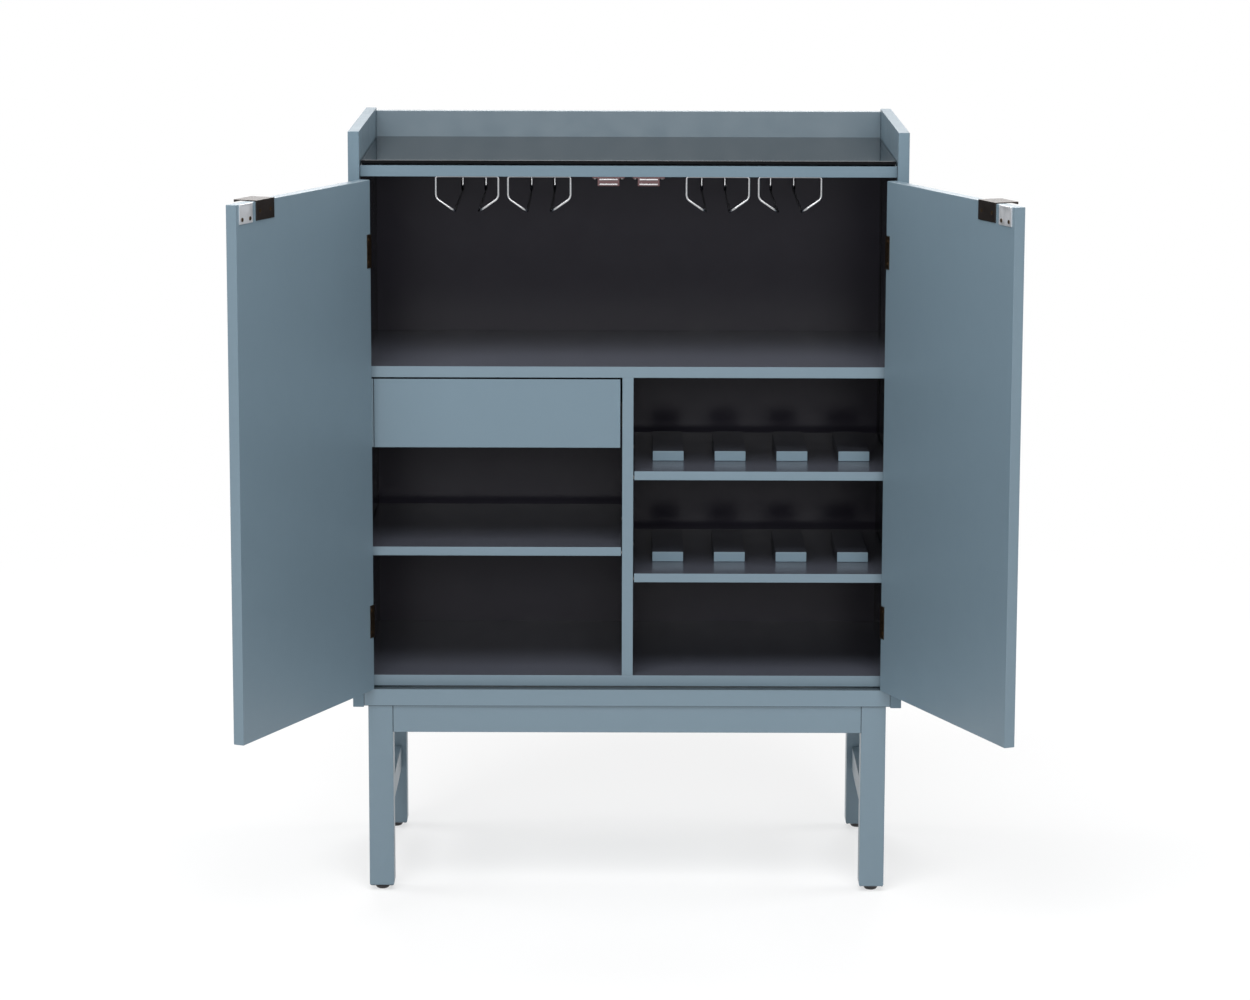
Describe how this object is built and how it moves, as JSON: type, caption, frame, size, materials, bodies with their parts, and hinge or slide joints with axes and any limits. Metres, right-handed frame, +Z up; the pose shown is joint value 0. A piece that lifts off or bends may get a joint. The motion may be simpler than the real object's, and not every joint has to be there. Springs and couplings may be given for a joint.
{
  "type": "wine cabinet",
  "caption": "Wine cabinet on a leg frame: glass-topped tray, hinged doors, shelves, a drawer, bottle racks and hanging stemware racks.",
  "frame": {"origin": "on the floor, under the middle of the carcass (the box between the side panels' outer faces and between their front and rear edges)", "axes": "+X to the right as seen by someone who faces the doors, +Y from the doors to the back panel, +Z up"},
  "size_m": [1.0718, 0.7735, 1.1175],
  "materials": {
    "aged_brass": "satin",
    "black_glass": "gloss",
    "black_steel": "satin",
    "catch_plastic": "matte",
    "dark_bronze": "satin",
    "glide": "matte",
    "inside": "satin",
    "lacquer": "satin",
    "magnet_steel": "satin",
    "nickel": "gloss",
    "raw_wood": "matte",
    "soft_pad": "matte",
    "wire_chrome": "gloss",
    "zinc_steel": "satin"
  },
  "bodies": {
    "carcass": {"side_panel_left": "lacquer", "side_panel_right": "lacquer", "top_board": "lacquer", "gallery_back": "lacquer", "top_glass": "black_glass", "glass_pads": "soft_pad", "bottom_board": "inside", "back_panel": "inside", "middle_shelf": "inside", "divider": "inside", "front_rail": "lacquer", "side_cleats": "inside", "back_cleat": "inside", "left_shelf": "inside", "rack_shelf_upper": "inside", "rack_shelf_lower": "inside", "bottle_blocks": "lacquer", "drawer_packer": "lacquer", "shelf_pins": "zinc_steel", "leg_front_left": "lacquer", "leg_front_right": "lacquer", "leg_back_left": "lacquer", "leg_back_right": "lacquer", "front_apron": "lacquer", "back_apron": "lacquer", "side_aprons": "lacquer", "side_stretchers": "lacquer", "foot_glides": "glide", "drawer_runners": "black_steel", "glass_rack_1": "wire_chrome", "glass_rack_2": "wire_chrome", "glass_rack_3": "wire_chrome", "glass_rack_4": "wire_chrome", "catch_housings": "catch_plastic", "carcass_screws": "zinc_steel", "frame_leaves": "aged_brass", "hinge_pins": "aged_brass", "frame_leaf_screws": "aged_brass", "carcass_dowels": "raw_wood"},
    "left_door": {"door_left": "lacquer", "door_leaves_left": "aged_brass", "door_screws_left": "aged_brass", "pull_left": "dark_bronze", "strike_plate_left": "nickel"},
    "right_door": {"door_right": "lacquer", "door_leaves_right": "aged_brass", "door_screws_right": "aged_brass", "pull_right": "dark_bronze", "strike_plate_right": "nickel"},
    "drawer": {"drawer_front": "lacquer", "drawer_side_left": "inside", "drawer_side_right": "inside", "drawer_back": "inside", "drawer_bottom": "inside", "drawer_members": "black_steel", "drawer_dowels": "raw_wood", "drawer_screws": "zinc_steel"},
    "ball_cages": {"ball_cages": "zinc_steel"},
    "left_magnet": {"magnet_left": "magnet_steel"},
    "right_magnet": {"magnet_right": "magnet_steel"}
  },
  "joints": [
    {"name": "left_door_hinge", "type": "hinge", "parent": "carcass", "child": "left_door", "pos_m": [-0.383, -0.2083, 0.678], "axis": [0, 0, -1], "range_deg": [-114.5, 60.5]},
    {"name": "right_door_hinge", "type": "hinge", "parent": "carcass", "child": "right_door", "pos_m": [0.383, -0.2083, 0.678], "axis": [0, 0, 1], "range_deg": [-113, 62]},
    {"name": "drawer_slide", "type": "slide", "parent": "carcass", "child": "drawer", "axis": [0, -1, 0], "range_m": [0, 0.26]},
    {"name": "ball_cage_slide", "type": "slide", "parent": "carcass", "child": "ball_cages", "axis": [0, -1, 0], "range_m": [0, 0.13]},
    {"name": "left_magnet_float", "type": "slide", "parent": "carcass", "child": "left_magnet", "axis": [0, -1, 0], "range_m": [0, 0.001]},
    {"name": "right_magnet_float", "type": "slide", "parent": "carcass", "child": "right_magnet", "axis": [0, -1, 0], "range_m": [0, 0.001]}
  ],
  "couplings": [
    {"joint": "ball_cage_slide", "follows": "drawer_slide", "ratio": 0.5}
  ]
}
